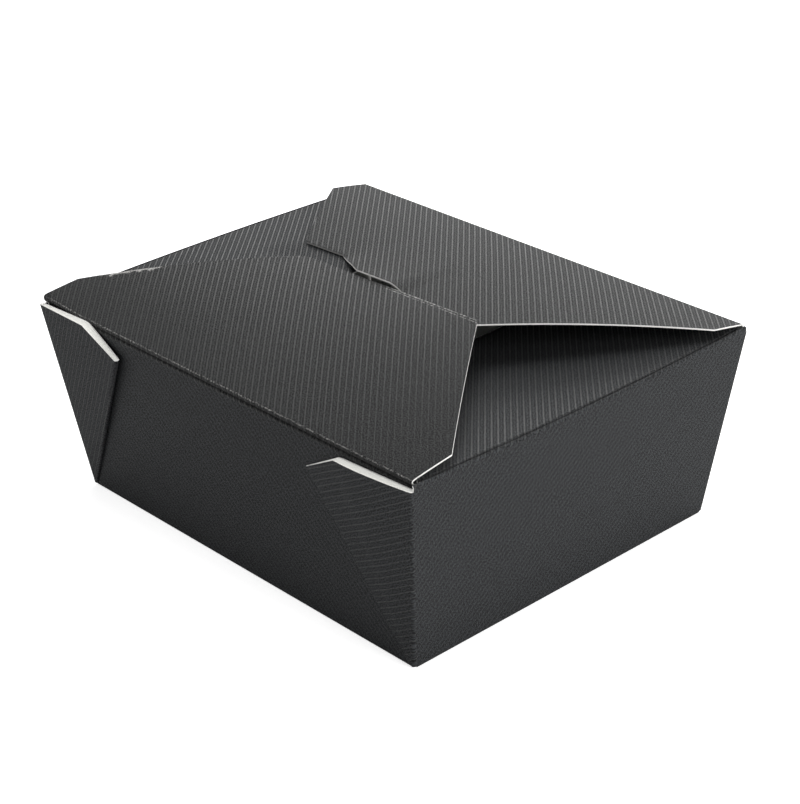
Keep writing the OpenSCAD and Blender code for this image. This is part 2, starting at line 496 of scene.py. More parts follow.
@dataclass
class Sheet:
    """A piece of board laid out flat in (u, v) and placed by the middle of its thickness.

    outside gives a place on the sheet and a direction that its print faces there. seams are
    the edges at which the board goes on in another piece.
    """

    outline: Points
    us: np.ndarray
    vs: np.ndarray
    place: Place
    flat: Place
    board: float
    outside: tuple[float, float, Sequence[float]]
    seams: frozenset[int] = frozenset()
    wear_and_shade: Callable[[np.ndarray, np.ndarray], np.ndarray] | None = None
    bulge: float = 0.03
    rim_clear: float = 0.2

    def _normals(self, u: np.ndarray, v: np.ndarray, step: float = 0.03) -> np.ndarray:
        """Unit normals of the middle surface, on the side that bears the print.

        Args:
            u: first sheet coordinates.
            v: second sheet coordinates.
            step: how far apart the compared points are.

        Returns:
            One normal for each point.
        """
        du = self.place(u + step, v) - self.place(u - step, v)
        dv = self.place(u, v + step) - self.place(u, v - step)
        return unit(np.cross(du, dv))

    def _grid(self) -> tuple[np.ndarray, list[tuple[int, int, int]], list[int], list[int]]:
        """Fills the outline with triangles.

        Returns:
            Sheet coordinates, triangles, the rim's vertices in order, and the edge of each.
        """
        rim, edge_of = ring(self.outline, self.us, self.vs)
        gu, gv = (a.ravel() for a in np.meshgrid(self.us, self.vs, indexing="ij"))
        keep = inside(gu, gv, self.outline)
        iu, iv = self._index(gu, gv)
        rim_index = np.stack(self._index(*np.array(rim).T), 1)
        cells = np.stack([iu, iv], 1)
        for k in np.nonzero(keep)[0]:
            keep[k] = np.abs(rim_index - cells[k]).max(1).min() > self.rim_clear
        every = np.concatenate([rim_index, cells[keep]])
        count = len(rim)
        loop = [(i, (i + 1) % count) for i in range(count)]
        made = delaunay_2d_cdt([Vector(p) for p in every], loop, [list(range(count))], 1, 1e-5)
        found = np.array([tuple(p) for p in made[0]])
        u = np.interp(found[:, 0], np.arange(len(self.us)), self.us)
        v = np.interp(found[:, 1], np.arange(len(self.vs)), self.vs)
        first = {o: i for i, group in enumerate(made[3]) for o in group}
        order = [first[i] for i in range(count)]
        return np.stack([u, v], 1), [tuple(f) for f in made[2]], order, edge_of

    def _index(self, u: np.ndarray, v: np.ndarray) -> tuple[np.ndarray, np.ndarray]:
        """Coordinates counted in grid lines, so that every cell is a square."""
        return (np.interp(u, self.us, np.arange(len(self.us))),
                np.interp(v, self.vs, np.arange(len(self.vs))))

    def _ridge(self, ends: np.ndarray, normals: np.ndarray, edge_of: list[int],
               lead: int) -> np.ndarray:
        """Middle line of the cut edge.

        Args:
            ends: middle of the board at the rim's vertices.
            normals: the board's normals there.
            edge_of: the outline's edge that each of them lies on.
            lead: 1 where the rim runs round the print to the left, else -1.

        Returns:
            Points that stand out a little wherever the edge is free.
        """
        ahead = np.roll(ends, -1, 0) - np.roll(ends, 1, 0)
        free = np.array([e not in self.seams for e in edge_of], float)
        both = np.minimum(free, np.roll(free, 1))
        return ends + unit(np.cross(ahead, normals) * lead) * (self.bulge * both)[:, None]

    def build(self, name: str) -> bpy.types.Object:
        """Makes the closed sheet.

        Args:
            name: the object's name.

        Returns:
            The object, with its print, inside and cut edge in the slots of Skin.
        """
        uv, tris, rim, edge_of = self._grid()
        u, v = uv.T
        middle, n = self.place(u, v), self._normals(u, v)
        u0, v0, hint = self.outside
        turned = bool(self._normals(np.array([u0]), np.array([v0]))[0] @ np.array(hint) < 0)
        if turned:
            n = -n
            tris = [t[::-1] for t in tris]
        area = sum(uv[a][0] * uv[b][1] - uv[b][0] * uv[a][1]
                   for a, b in zip(rim, [*rim[1:], rim[0]]))
        lead = 1 if bool(area > 0) != turned else -1
        half, ridge = self.board / 2, self._ridge(middle[rim], n[rim], edge_of, lead)
        points = np.concatenate([middle + n * half, middle - n * half, ridge]) * MM
        count, total = len(rim), len(u)
        faces = [tuple(t) for t in tris] + [tuple(i + total for i in t[::-1]) for t in tris]
        slots = [Skin.PRINT] * len(tris) + [Skin.INSIDE] * len(tris)
        sharp = set()
        for k in range(count):
            a, b = rim[k], rim[(k + 1) % count]
            ma, mb = 2 * total + k, 2 * total + (k + 1) % count
            for quad in ((a, ma, mb, b), (ma, a + total, b + total, mb)):
                faces.append(quad if lead > 0 else quad[::-1])
                slots.append(Skin.CUT)
            sharp |= {frozenset((a, b)), frozenset((a + total, b + total))}
        mesh = bpy.data.meshes.new(name)
        mesh.from_pydata(points.tolist(), [], faces)
        mesh.polygons.foreach_set("material_index", [int(s) for s in slots])
        mesh.polygons.foreach_set("use_smooth", [True] * len(faces))
        marked = mesh.attributes.new("sharp_edge", "BOOLEAN", "EDGE")
        marked.data.foreach_set("value", [frozenset(e.vertices) in sharp for e in mesh.edges])
        # the third value of the layout: rubbing where positive, painted shade where negative
        wear_and_shade = self.wear_and_shade(u, v) if self.wear_and_shade else np.zeros(total)
        layout = np.concatenate([self.flat(u, v), wear_and_shade[:, None]], 1)
        layout = np.concatenate([layout, layout, layout[rim]])
        stored = mesh.attributes.new(FLAT, "FLOAT_VECTOR", "POINT")
        stored.data.foreach_set("vector", layout.astype(np.float32).ravel())
        mesh.update()
        return added(name, mesh)


# Section lines and shared sizes

class Path:
    """Section line through the middle of the board: straight runs and arcs in (out, up)."""

    def __init__(self, start: tuple[float, float]) -> None:
        """Starts the line at a point."""
        self.points = [start]
        self.marks: dict[str, float] = {}

    def line(self, to: tuple[float, float], steps: int = 1) -> "Path":
        """Adds a straight run to a point.

        Args:
            to: the point.
            steps: how many pieces it has.

        Returns:
            The path.
        """
        x0, y0 = self.points[-1]
        self.points += [(x0 + (to[0] - x0) * i / steps, y0 + (to[1] - y0) * i / steps)
                        for i in range(1, steps + 1)]
        return self

    def arc(self, centre: tuple[float, float], radius: float, start: float, end: float,
            steps: int) -> "Path":
        """Adds an arc.

        Args:
            centre: its centre.
            radius: its radius.
            start: its first angle, in degrees.
            end: its last angle, in degrees.
            steps: how many pieces it has.

        Returns:
            The path.
        """
        for i in range(steps + 1):
            a = math.radians(start + (end - start) * i / steps)
            p = (centre[0] + radius * math.cos(a), centre[1] + radius * math.sin(a))
            if math.dist(p, self.points[-1]) > 1e-6:
                self.points.append(p)
        return self

    def mark(self, name: str) -> "Path":
        """Names the length reached so far."""
        self.marks[name] = self.length()
        return self

    def length(self) -> float:
        """Length of the line so far."""
        return float(self.steps()[-1])

    def steps(self) -> np.ndarray:
        """Length along the line at each of its points."""
        p = np.array(self.points)
        return np.concatenate([[0.0], np.cumsum(np.linalg.norm(np.diff(p, axis=0), axis=1))])

    def at(self, s: np.ndarray) -> np.ndarray:
        """Points at given lengths along the line, which runs on straight past its ends.

        Args:
            s: the lengths.

        Returns:
            One (out, up) for each length.
        """
        p, total = np.array(self.points), self.steps()
        out = [np.interp(s, total, p[:, k]) for k in (0, 1)]
        for end, a, b in ((s < 0, 0, 1), (s > total[-1], -1, -2)):
            away = (p[a] - p[b]) / np.linalg.norm(p[a] - p[b])
            over = np.where(s < 0, -s, s - total[-1])
            for k in (0, 1):
                out[k] = np.where(end, p[a][k] + away[k] * over, out[k])
        return np.stack(out, 1)


@dataclass
class Carton:
    """Sizes of the carton, in millimetres, and the lines that its pieces share."""

    board: float = 0.45
    roll_r: float = 0.9
    base_l: float = 149.4
    base_w: float = 120.6
    rim_l: float = 167.2
    rim_w: float = 132.8
    wall_h: float = 63.6
    rim_step: float = 1.0
    crown: float = 7.4
    layer_gap: float = 0.45
    base_bend: float = 0.325
    setback: float = 0.35
    setback_top: float = 1.2
    floor_strip: float = 1.0
    base_steps: int = 10
    wall_steps: int = 8
    panel_grid: float = 3.0
    strip_before: float = 0.4
    strip_grid: float = 0.5
    bend_before: float = 0.45
    bend_grid: float = 0.05

    def __post_init__(self) -> None:
        """Works out the shared values."""
        self.slope_h = math.hypot((self.rim_w - self.base_w) / 2, self.wall_h)
        self.rim_out = (self.rim_l - self.base_l) / 2
        self.lean_y = math.degrees(math.atan((self.rim_w - self.base_w) / 2 / self.wall_h))
        self.lean_x = math.degrees(math.atan(self.rim_out / self.wall_h))
        self.hinge_y = self.rim_w / 2 + self.board - self.roll_r
        self.hinge_z = self.board + self.wall_h

    def wall_path(self, half: float, lean: float) -> Path:
        """Section of a side from the floor round its base crease.

        Args:
            half: half of the floor's size across that side.
            lean: the wall's lean from upright, in degrees.

        Returns:
            The path, up to the start of the wall.
        """
        mid, r, a = self.board / 2, self.base_bend, math.radians(lean)
        corner = half + mid / math.cos(a) - mid * math.tan(a)
        centre = (corner - r * (1 - math.sin(a)) / math.cos(a), mid + r)
        path = Path((half - self.floor_strip, mid))
        return path.arc(centre, r, -90, -lean, self.base_steps).mark("wall")

    def wall_mark(self, path: Path) -> float:
        """Length along a side's section at which its wall would leave the floor's top."""
        rise = path.at(np.array([path.marks["wall"]]))[0, 1] - self.board
        return path.marks["wall"] - rise

    def base_grid(self, wall: float) -> tuple[np.ndarray, np.ndarray]:
        """Grid lines over the floor's strip and the base crease.

        Args:
            wall: length along the section at which the wall starts.

        Returns:
            The lines before the crease, and those over it.
        """
        return (spread(0, wall - self.strip_before, self.strip_grid),
                spread(wall - self.bend_before, wall, self.bend_grid))


def spread(low: float, high: float, step: float) -> np.ndarray:
    """Evenly spaced places about step apart, ends included."""
    return np.linspace(low, high, max(2, round((high - low) / step) + 1))


def lines(*runs: np.ndarray, least: float = 0.02) -> np.ndarray:
    """Sorted grid lines from several runs, with those nearer than the least left out."""
    every = np.sort(np.concatenate(runs))
    return every[np.concatenate([[True], np.diff(every) > least])]


def bell(t: np.ndarray) -> np.ndarray:
    """A smooth bump, 1 at 0 and gone from 1 on."""
    return np.where(np.abs(t) < 1, (1 + np.cos(np.pi * t)) / 2, 0)


def settled(stations: Stations, soft: float = 0.05) -> Callable[[float], float]:
    """A smoothed line through stations.

    Args:
        stations: pairs of a place and a value, in order.
        soft: how far the corners are smoothed.

    Returns:
        A function that gives the value at a place.
    """
    at, value = (list(v) for v in zip(*stations))
    reach = np.linspace(-soft, soft, 9)
    return lambda u: float(np.mean(np.interp(u + reach * min(1, u / soft, (1 - u) / soft + 1e-9),
                                             at, value)))


def smooth(t: np.ndarray) -> np.ndarray:
    """Smooth rise from 0 to 1."""
    c = np.clip(t, 0, 1)
    return c * c * (3 - 2 * c)


def band(t: np.ndarray, rise: Span, fall: Span) -> np.ndarray:
    """Smooth rise between two places, and smooth fall between two later ones."""
    return smooth((t - rise[0]) / (rise[1] - rise[0])) * smooth((fall[1] - t) / (fall[1] - fall[0]))


# Long sides and lid flaps

@dataclass(frozen=True)
class FlapSide:
    """One side edge of a lid flap: its ends and how steeply it runs in."""

    hinge_x: float
    shoulder_x: float
    shoulder_d: float
    angle: float

    def x_at(self, d: float) -> float:
        """Distance of the edge from the middle of the carton."""
        return self.shoulder_x - (d - self.shoulder_d) / math.tan(math.radians(self.angle))


@dataclass
class LongSide:
    """A long side: its wall, the crease strip at the rim and the lid flap.

    The flap's arc is twisted, so that its left part lies lower towards the lead edge. end_lift
    is how much higher the left end of the crease stands. lead_grids says how far before the
    lead edge a closer grid starts and ends, and how far apart its lines are.
    """

    carton: Carton
    side: Side
    crown: float
    left: FlapSide
    right: FlapSide
    ridge_r: float = 0.38
    groove: float = 0.7
    groove_w: float = 0.75
    groove_below: float = 1.3
    bulge: float = 0.16
    bulge_w: float = 0.6
    bulge_below: float = 0.3
    hem: float = 1.2
    strip_below: float = 0.4
    blend_in: float = 0.3
    past_mid: float = 6.0
    twist: float = 2.0
    twist_x: float = 36.0
    twist_l: float = 74.0
    twist_most: float = 1.6
    far_most: float = 1.1
    end_lift: float = 0.0
    end_x: float = 62.0
    end_l: float = 22.0
    end_fall: float = 16.0
    end_rise: float = 1.2
    ridge_wear: float = 0.75
    ridge_w: float = 0.26
    # depth of the painted shade in the groove and on the roll's face
    face_shade: float = 0.85
    face_soft: float = 0.5
    tip_x: float = 82.4
    tip_l: float = 1.2
    tip_below: Span = (1.6, 1.2)
    flap_x: float = 84.2
    ridge_steps: int = 14
    lid_steps: int = 90
    height_steps: int = 400
    reach_steps: int = 800
    wall_grid: float = 4.0
    groove_grid: float = 0.1
    ridge_grid: float = 0.06
    hem_grid: float = 0.3
    grid: float = 2.5
    grid_before: float = 9.0
    lead_grids: tuple[tuple[float, float, float], ...] = ((8.5, 0.0, 0.8),)

    def __post_init__(self) -> None:
        """Draws the section."""
        c = self.carton
        mid = c.roll_r - c.board / 2
        self.arc_r = (c.hinge_y ** 2 + self.crown ** 2) / (2 * self.crown)
        rise = math.asin(c.hinge_y / self.arc_r)
        centre = (0.0, c.hinge_z + self.crown - self.arc_r)
        self.path = c.wall_path(c.base_w / 2, c.lean_y)
        a = math.radians(c.lean_y)
        wall_n = np.array([math.cos(a), -math.sin(a)])
        flap_n = np.array([math.cos(rise), math.sin(rise)])[::-1]
        ridge = (np.array([c.hinge_y, c.hinge_z])
                 + (mid - self.ridge_r) * (wall_n + flap_n) / (1 + wall_n @ flap_n))
        foot = ridge + wall_n * self.ridge_r
        turn = math.degrees(rise)
        self.path.line(tuple(foot), c.wall_steps).mark("rim")
        self.path.arc(tuple(ridge), self.ridge_r, -c.lean_y, 90 - turn, self.ridge_steps)
        self.path.mark("flap")
        self.path.arc(centre, self.arc_r + mid, 90 - turn, 90 + self.past_mid, self.lid_steps)
        self.low = self.path.marks["rim"] - self.groove_below - self.groove_w - self.strip_below
        self.high = self.path.marks["flap"] + self.hem

    def dent(self, s: np.ndarray) -> np.ndarray:
        """Depth of the groove under the roll, less the bulge of its face.

        Args:
            s: lengths along the section.

        Returns:
            The depths.
        """
        away = s - self.path.marks["rim"]
        groove = bell((away + self.groove_below) / self.groove_w) * self.groove
        return groove - bell((away + self.bulge_below) / self.bulge_w) * self.bulge

    def reach_at(self, d: float) -> float:
        """Length along the section at a plan distance from the hinge line."""
        s = np.linspace(self.path.marks["rim"], self.path.length(), self.reach_steps)
        return float(np.interp(-self.carton.hinge_y + d, -self.path.at(s)[:, 0], s))

    def height(self, x: np.ndarray, y: np.ndarray) -> np.ndarray:
        """Height of the flap's middle surface, for both halves of the lid alike.

        Args:
            x: places along the carton.
            y: places across it.

        Returns:
            The heights.
        """
        s = np.linspace(self.path.marks["flap"], self.path.length(), self.height_steps)
        p = self.path.at(s)
        z = np.interp(-np.abs(y), -p[:, 0], p[:, 1])
        return z + LongSide.warp(self, x, self.carton.hinge_y - np.abs(y))

    def warp(self, x: np.ndarray, d: np.ndarray) -> np.ndarray:
        """How much higher the flap lies than its plain arc.

        Args:
            x: places along the side.
            d: plan distances from the hinge line.

        Returns:
            The rises.
        """
        share = np.clip((self.twist_x - x) / self.twist_l, 0, self.twist_most)
        far = np.clip(d / self.carton.hinge_y, 0, self.far_most)
        return -self.twist * share * far ** 2

    def place(self, x: np.ndarray, s: np.ndarray) -> np.ndarray:
        """Middle of the board at a place along the side and a length along the section.

        Args:
            x: places along the side.
            s: lengths along the section.

        Returns:
            One point (x, y, z) for each pair.
        """
        p = self.path.at(s)
        made = np.stack([x, int(self.side) * (p[:, 0] - self.dent(s)), p[:, 1]], 1)
        d = np.maximum(self.carton.hinge_y - p[:, 0], 0)
        past_rim = s - self.path.marks["rim"]
        made[:, 2] += np.where(past_rim > self.ridge_r, self.warp(x, d), 0)
        raised = smooth(past_rim / self.end_rise + 1) * np.exp(-d / self.end_fall)
        made[:, 2] += self.end_lift * smooth((-x - self.end_x) / self.end_l) * raised
        return made

    def flat(self, x: np.ndarray, s: np.ndarray) -> np.ndarray:
        """The same point on the board laid out flat."""
        c = self.carton
        return np.stack([x, int(self.side) * (c.base_w / 2 + s - c.wall_mark(self.path))], 1)

    def wall(self, name: str) -> bpy.types.Object:
        """Builds the wall, up to the crease strip.

        Args:
            name: the object's name.

        Returns:
            The wall.
        """
        c, start = self.carton, self.path.marks["wall"]
        rise = (self.low - start) / c.slope_h
        half = [c.base_l / 2 - c.setback, c.base_l / 2 - c.setback_top + c.rim_out * rise]
        outline = [(-half[0], 0), (half[0], 0), (half[0], start), (half[1], self.low),
                   (-half[1], self.low), (-half[0], start)]
        us = spread(-half[1], half[1], self.wall_grid)
        vs = lines(*c.base_grid(start), spread(start, self.low, c.panel_grid))
        return Sheet(outline, us, vs, self.place, self.flat, c.board,
                     (0, self.low / 2, (0, int(self.side), 0)), frozenset({0, 3})).build(name)

    def crease(self, name: str, flap: str) -> bpy.types.Object:
        """Builds the crease strip at the rim, between the wall and the lid flap.

        Args:
            name: the object's name.
            flap: not used.

        Returns:
            The strip, with its transform baked in.
        """
        c, ends = self.carton, (-self.left.hinge_x, self.right.hinge_x)
        outline = [(ends[0], self.low), (ends[1], self.low),
                   (ends[1], self.high), (ends[0], self.high)]
        rim, top = self.path.marks["rim"], self.path.marks["flap"]
        us = spread(*ends, c.panel_grid)
        vs = lines(spread(self.low, rim, self.groove_grid), spread(rim, top, self.ridge_grid),
                   spread(top, self.high, self.hem_grid))
        made = Sheet(outline, us, vs, self.place, self.flat, c.board,
                     (0, self.low + self.groove_grid, (0, int(self.side), 0)),
                     frozenset({0, 2}), self.rub_and_shade).build(name)
        span = [self.place(np.array([0.0]), np.array([s]))[0] * MM
                for s in (rim - self.groove_below, self.high - self.blend_in)]
        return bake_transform(made, "box", flap, start=tuple(span[0]), end=tuple(span[1]))

    def rub_and_shade(self, x: np.ndarray, s: np.ndarray) -> np.ndarray:
        """Rubbing on the ridge of the roll, painted shade in the groove and on the roll's face
        under it, and the strip darkened at its left end.

        Args:
            x: places along the side.
            s: lengths along the section.

        Returns:
            The value, negative where shade is painted, and at the left end.
        """
        rim, top = self.path.marks["rim"], self.path.marks["flap"]
        face = band(s - rim, (-self.groove_below - self.face_soft, -self.groove_below),
                    (-self.face_soft, 0))
        start, full = self.tip_below
        end = smooth((-x - self.tip_x) / self.tip_l) * smooth((s - rim + start) / (start - full))
        ridge = np.exp(-((s - (rim + top) / 2) / self.ridge_w) ** 2)
        return self.ridge_wear * ridge - self.face_shade * face - end

    def flap_wear_and_shade(self, x: np.ndarray, s: np.ndarray) -> np.ndarray:
        """Wear of the flap, none for the plain kind."""
        return np.zeros(len(x))

    def lid(self, name: str, lead: Points, us: np.ndarray, most: float) -> bpy.types.Object:
        """Builds the lid flap past the crease strip.

        Args:
            name: the object's name.
            lead: its outline between the shoulders, along the side and from the hinge line.
            us: grid lines along the side.
            most: how far its lead edge is from the hinge line.

        Returns:
            The flap.
        """
        end = self.reach_at(most)
        vs = lines(spread(self.high, end - self.grid_before, self.grid),
                   *(spread(end - start, end - stop, step)
                     for start, stop, step in self.lead_grids))
        plan = [(self.right.shoulder_x, self.right.shoulder_d), *lead,
                (-self.left.shoulder_x, self.left.shoulder_d)]
        outline = [(-self.left.hinge_x, self.high), (self.right.hinge_x, self.high)]
        outline += [(x, self.reach_at(d)) for x, d in plan]
        return Sheet(outline, us, vs, self.place, self.flat, self.carton.board,
                     (0, (self.high + end) / 2, (0, 0, 1)), frozenset({0}), self.flap_wear_and_shade).build(name)


@dataclass
class FrontFlap(LongSide):
    """Front side, whose lid flap has a straight lead edge.

    It is rubbed pale in two rows along the lead edge, where the lid flaps chafe it, and torn a
    little at its left edge. The torn edge goes on as a thin pale line round the lead corner.
    """

    lead: float = 68.8
    lead_r: float = 4.0
    lead_chamfer: float = 1.6
    lead_cut: float = 0.5
    rows_at: Span = (0.25, 1.4)
    rows_w: float = 0.3
    rows_x: tuple[Span, Span] = ((-4.0, -1.0), (47.0, 50.0))
    second_row: float = 0.8
    torn: float = 1.8
    torn_w: float = 0.6
    torn_d: tuple[Span, Span] = ((17.0, 19.0), (30.0, 34.0))
    thin: float = 0.5
    thin_w: float = 0.3
    thin_x: float = -24.0
    thin_l: float = 3.0
    lead_steps: int = 8
    grid_before: float = 4.5
    lead_grids: tuple[tuple[float, float, float], ...] = ((4.2, 2.1, 0.6), (2.0, 0.0, 0.2))

    def flap(self, name: str) -> bpy.types.Object:
        """Builds the lid flap past the crease strip.

        Args:
            name: the object's name.

        Returns:
            The flap.
        """
        r, angle = self.lead_r, math.radians(self.left.angle)
        centre = (r * math.tan(angle / 2) - self.left.x_at(self.lead), self.lead - r)
        round_end = [(centre[0] + r * math.cos(a), centre[1] + r * math.sin(a))
                     for a in np.linspace(math.pi / 2, math.pi / 2 + angle, self.lead_steps)]
        back = self.lead - self.lead_chamfer
        lead = [(self.right.x_at(back), back),
                (self.right.x_at(self.lead) - self.lead_cut, self.lead), *round_end]
        return self.lid(name, lead, spread(-self.flap_x, self.flap_x, self.grid), self.lead)

    def flap_wear_and_shade(self, x: np.ndarray, s: np.ndarray) -> np.ndarray:
        """Wear along the lead edge and the left edge.

        Args:
            x: places along the side.
            s: lengths along the section.

        Returns:
            The wear.
        """
        away = self.reach_at(self.lead) - s
        first, second = (np.exp(-((away - at) / self.rows_w) ** 2) for at in self.rows_at)
        rows = (first + self.second_row * second) * band(x, *self.rows_x)
        d = self.carton.hinge_y - self.path.at(s)[:, 0]
        side = np.array([self.left.x_at(k) for k in d]) + x
        torn = self.torn * np.exp(-np.maximum(side, 0) / self.torn_w) * band(d, *self.torn_d)
        near = np.clip(np.minimum(side, away), 0, None)
        line = self.thin * np.exp(-near / self.thin_w) * smooth((self.thin_x - x) / self.thin_l)
        return rows + torn + line


@dataclass
class BackFlap(LongSide):
    """Back side, whose lid flap has a tab that stands over the front flap.

    Right of hook_x the lead edge dives under the front flap. Left of low_x the tab lies lower.
    """

    hook_x: float = 4.6
    hook_l: float = 7.5
    tab_lift: float = 2.4
    low_x: float = -22.0
    low_l: float = 10.0
    low_share: float = 0.8
    under: float = 65.4
    nose: Stations = ((6.4, 65.4), (3.6, 62.3), (0.7, 62.0), (-17.2, 62.2), (-24.9, 58.6),
                      (-32.1, 54.8), (-48.9, 55.2))
    nose_back: float = 3.0
    # where the painted shade along the lead edge starts, and how wide it is
    shaded_x: float = -29.0
    shaded_l: float = 3.0
    shaded_w: float = 0.5
    hook_ends: Span = (-7.0, 8.0)
    hook_half: float = 6.5
    hook_grid: float = 0.7

    def warp(self, x: np.ndarray, d: np.ndarray) -> np.ndarray:
        """How much higher the flap lies than its plain arc, with the lift of the tab.

        Args:
            x: places along the side.
            d: plan distances from the hinge line.

        Returns:
            The rises.
        """
        lift = self.tab_lift * smooth((self.hook_x - x) / self.hook_l)
        lift = lift * (1 - self.low_share * smooth((self.low_x - x) / self.low_l))
        far = np.clip(d / self.carton.hinge_y, 0, None)
        return super().warp(x, d) + lift * far ** 5

    def flap_wear_and_shade(self, x: np.ndarray, s: np.ndarray) -> np.ndarray:
        """Painted shade along the lead edge left of the tab's step, as a negative value."""
        away = np.maximum(self.reach_at(self.nose[-2][1]) - s, 0)
        return -smooth((self.shaded_x - x) / self.shaded_l) * np.exp(-away / self.shaded_w)

    def flap(self, name: str) -> bpy.types.Object:
        """Builds the lid flap past the crease strip.

        Args:
            name: the object's name.

        Returns:
            The flap.
        """
        back = self.nose[-1][1] - self.nose_back
        lead = [(self.right.x_at(self.under), self.under), *self.nose,
                (-self.left.x_at(back), back)]
        us = lines(spread(-self.flap_x, self.hook_ends[0], self.grid),
                   spread(-self.hook_half, self.hook_half, self.hook_grid),
                   spread(self.hook_ends[1], self.flap_x, self.grid))
        return self.lid(name, lead, us, self.under)


# Corner webs

@dataclass(frozen=True)
class WebShape:
    """How a web is folded, along and up the long wall from its base corner.

    roll_end says how the short side's roll ends there. The stations give, for shares of the
    way from the corner to the fold, how far its outer and inner faces stand off the wall at
    the cut edge.
    """

    corner: tuple[float, float]
    knee: tuple[float, float]
    tip: tuple[float, float]
    roll_end: RollEnd
    outer: Stations
    inner: Stations


@dataclass
class Web:
    """A corner web: board folded double from the short wall's corner edge to the long wall's."""

    carton: Carton
    x_side: Side
    y_side: Side
    shape: WebShape
    corner_bend: float = 0.55
    strip: float = 0.15
    base_out: float = 0.72
    base_in: float = 0.47
    base_end: float = 0.55
    near: float = 0.35
    clear: float = 0.8
    tip_turn: float = 80.0
    foot_turn: Span = (100.0, 270.0)
    steps: int = 26
    corner_steps: int = 10
    tip_steps: int = 13
    foot_steps: int = 8
    grid: float = 0.045
    foot_share: float = 0.1
    foot_grid: float = 0.02

    def __post_init__(self) -> None:
        """Works out the directions and the rows of the section."""
        c = self.carton
        lean = math.atan(c.rim_out / c.slope_h)
        self.turned = math.atan((c.rim_w - c.base_w) / 2 / math.hypot(c.rim_out, c.wall_h))
        up = np.array([0.0, -(c.rim_w - c.base_w) / 2, c.wall_h]) / c.slope_h
        along = np.array([-1.0, 0, 0])
        self.edge = -along * math.sin(lean) + up * math.cos(lean)
        self.inward = along * math.cos(lean) + up * math.sin(lean)
        self.outward = np.cross(up, along)
        self.apex = np.array([c.base_l / 2, -c.base_w / 2, c.board])
        turn = np.array([[math.cos(lean), math.sin(lean)], [-math.sin(lean), math.cos(lean)]])
        self.corners = [turn @ np.array(p)
                        for p in (self.shape.corner, self.shape.knee, self.shape.tip)]
        short = np.array([c.rim_out, 0, c.wall_h]) / math.hypot(c.rim_out, c.wall_h)
        inwards = np.cross(np.cross(short, [0, 1.0, 0]), self.edge)
        inwards *= -np.sign(inwards @ self.outward)
        wall = np.array([inwards @ self.inward, inwards @ self.outward])
        self.wall = wall / np.linalg.norm(wall)
        self.face = np.array([-abs(self.wall[1]), self.wall[0] * np.sign(self.wall[1])])
        self.rows = self._rows()

    def _corner_rows(self, out: float) -> np.ndarray:
        """Middle of the board round the corner, for a height of the outer layer off the wall.

        Args:
            out: that height.

        Returns:
            Points (across, out) from the short wall to the outer layer.
        """
        mid, across = self.carton.board / 2, np.array([1.0, 0.0])
        meet = self.face * mid + self.wall * (out - self.face[1] * mid) / self.wall[1]
        half = math.acos(float(self.wall @ across)) / 2
        run = self.corner_bend / math.tan(half)
        centre = meet + (self.wall + across) / np.linalg.norm(self.wall + across) \
            * self.corner_bend / math.sin(half)
        first, last = (meet + d * run - centre for d in (self.wall, across))
        turn = [math.atan2(p[1], p[0]) for p in (first, last)]
        if turn[0] < 0:
            turn[0] += 2 * math.pi
        arc = [centre + self.corner_bend * np.array([math.cos(a), math.sin(a)])
               for a in np.linspace(turn[0], turn[1], self.corner_steps)]
        return np.array([meet + self.wall * (run + self.strip), *arc])

    def _rows(self) -> np.ndarray:
        """Rows of (slant, across, out at the cut edge, across, out at the base).

        Returns:
            The rows: round the corner, the outer layer, the fold, the inner layer and its foot.
        """
        mid, n = self.carton.board / 2, self.steps
        outer, inner = (settled(s) for s in (self.shape.outer, self.shape.inner))
        rows = [(0.0, *top, *base) for top, base in zip(
            self._corner_rows(outer(0.0) - mid), self._corner_rows(self.base_out))]
        radius = (outer(1.0) - inner(1.0)) / 2 - mid
        tip = self.corners[2]
        fold = (tip[0] - radius - mid) / tip[1]
        edge, turned = float(self._limit(np.array([0.0]))[0]), rows[-1]
        begin = (turned[1] + self.clear) / edge
        for k in range(n):
            slant = begin + (fold - begin) * k / (n - 1)
            rows.append((slant, 0.0, outer(slant / fold) - mid,
                         turned[3] + (self.base_end - turned[3]) * (k + 1) / n,
                         self.base_out))
        middle, low = (outer(1.0) + inner(1.0)) / 2, (self.base_out + self.base_in) / 2
        small = (self.base_out - self.base_in) / 2
        for a in np.radians(np.linspace(self.tip_turn, -self.tip_turn, self.tip_steps)):
            rows.append((fold, radius * math.cos(a), middle + radius * math.sin(a),
                         self.base_end + small * math.cos(a), low + small * math.sin(a)))
        inside = self.carton.setback_top / edge
        for k in range(n):
            slant = fold + (inside - fold) * k / (n - 1)
            rows.append((slant, 0.0, inner(slant / fold) + mid,
                         self.base_end + (self.carton.setback - self.base_end) * k / (n - 1),
                         self.base_in))
        drop, end = inner(0.0) / 2, (self.base_in - mid) / 2
        for a in np.radians(np.linspace(*self.foot_turn, self.foot_steps)):
            rows.append((inside, drop * math.cos(a), mid + drop + drop * math.sin(a),
                         self.carton.setback + end * math.cos(a), mid + end + end * math.sin(a)))
        return np.array(rows)

    def _limit(self, slant: np.ndarray) -> np.ndarray:
        """Length along the corner edge at which the board is cut, for slants from the apex.

        Args:
            slant: distance across for each unit along the corner edge.

        Returns:
            The lengths.
        """
        def cut(p: np.ndarray, q: np.ndarray) -> np.ndarray:
            """Where a ray meets the line through two points."""
            dx, dy = q - p
            return (p[0] * dy - p[1] * dx) / (slant * dy - dx)

        corner, knee, tip = self.corners
        return np.where(slant < knee[0] / knee[1], cut(corner, knee), cut(knee, tip))

